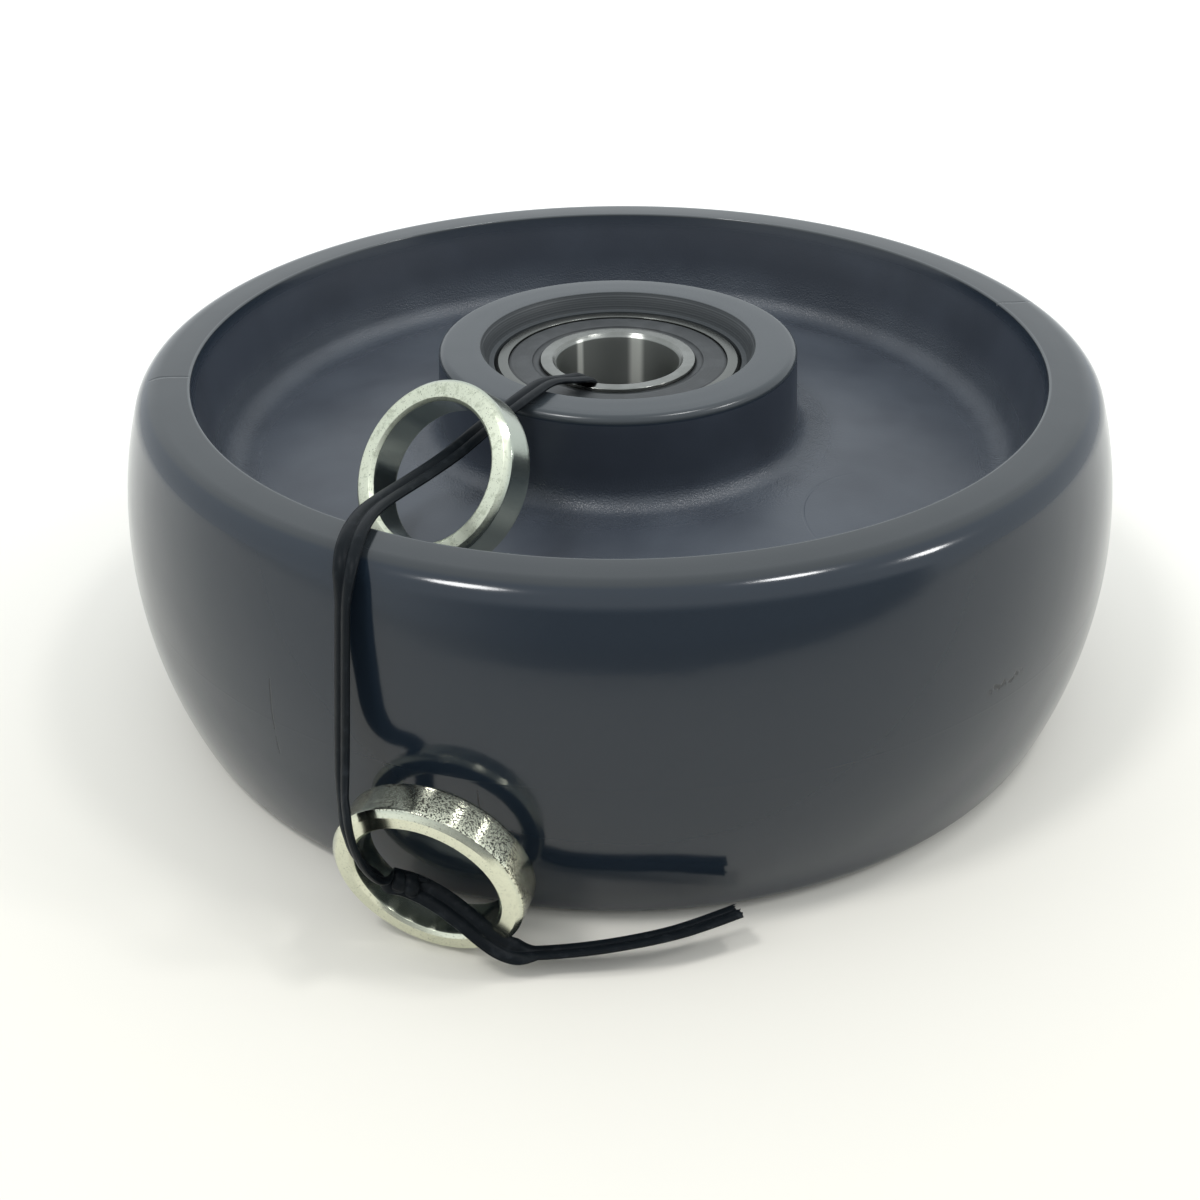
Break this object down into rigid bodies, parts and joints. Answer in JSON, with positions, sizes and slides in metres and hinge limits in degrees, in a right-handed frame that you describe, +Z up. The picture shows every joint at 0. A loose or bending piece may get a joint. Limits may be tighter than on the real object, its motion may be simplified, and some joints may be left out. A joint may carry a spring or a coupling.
{
  "type": "wheel",
  "caption": "Moulded plastic wheel with a crowned tread, a recessed web and a sealed ball bearing in each end of its hub, with loose axle spacers tied on by a flat strap.",
  "frame": {"origin": "on the axle's line, in the plane of the lower rim face that the wheel lies on", "axes": "+Z up along the axle; -Y towards the side where the loose spacers are tied"},
  "size_m": [0.2032, 0.2129, 0.0787],
  "materials": {
    "wheel_plastic": "moulded, glossy tread and satin recess",
    "bearing_steel": "ground and polished",
    "ball_steel": "polished",
    "cage_steel": "pressed sheet",
    "seal_rubber": "matt moulded rubber",
    "tube_steel": "cut tube",
    "zinc_steel": "turned, zinc plated",
    "strap_plastic": "extruded twin-rib strap"
  },
  "bodies": {
    "wheel": {"wheel_body": "wheel_plastic", "upper_bearing_outer_ring": "bearing_steel", "upper_bearing_outer_seal": "seal_rubber", "upper_bearing_inner_seal": "seal_rubber", "lower_bearing_outer_ring": "bearing_steel", "lower_bearing_outer_seal": "seal_rubber", "lower_bearing_inner_seal": "seal_rubber", "upper_axle_spacer": "zinc_steel", "lower_axle_spacer": "zinc_steel", "tie_strap": "strap_plastic"},
    "inner_race": {"upper_bearing_inner_ring": "bearing_steel", "lower_bearing_inner_ring": "bearing_steel", "bearing_spacer_tube": "tube_steel"},
    "upper_cage": {"upper_bearing_cage_outer_half": "cage_steel", "upper_bearing_cage_inner_half": "cage_steel", "upper_bearing_cage_rivets": "cage_steel", "upper_bearing_balls": "ball_steel"},
    "lower_cage": {"lower_bearing_cage_outer_half": "cage_steel", "lower_bearing_cage_inner_half": "cage_steel", "lower_bearing_cage_rivets": "cage_steel", "lower_bearing_balls": "ball_steel"}
  },
  "joints": [
    {"name": "axle_turn", "type": "hinge", "parent": "wheel", "child": "inner_race", "pos_m": [0, 0, 0.03375], "axis": [0, 0, 1], "continuous": true},
    {"name": "upper_cage_turn", "type": "hinge", "parent": "wheel", "child": "upper_cage", "pos_m": [0, 0, 0.05755], "axis": [0, 0, 1], "continuous": true},
    {"name": "lower_cage_turn", "type": "hinge", "parent": "wheel", "child": "lower_cage", "pos_m": [0, 0, 0.00995], "axis": [0, 0, 1], "continuous": true}
  ],
  "couplings": [
    {"joint": "upper_cage_turn", "follows": "axle_turn", "ratio": 0.41667},
    {"joint": "lower_cage_turn", "follows": "axle_turn", "ratio": 0.41667}
  ]
}
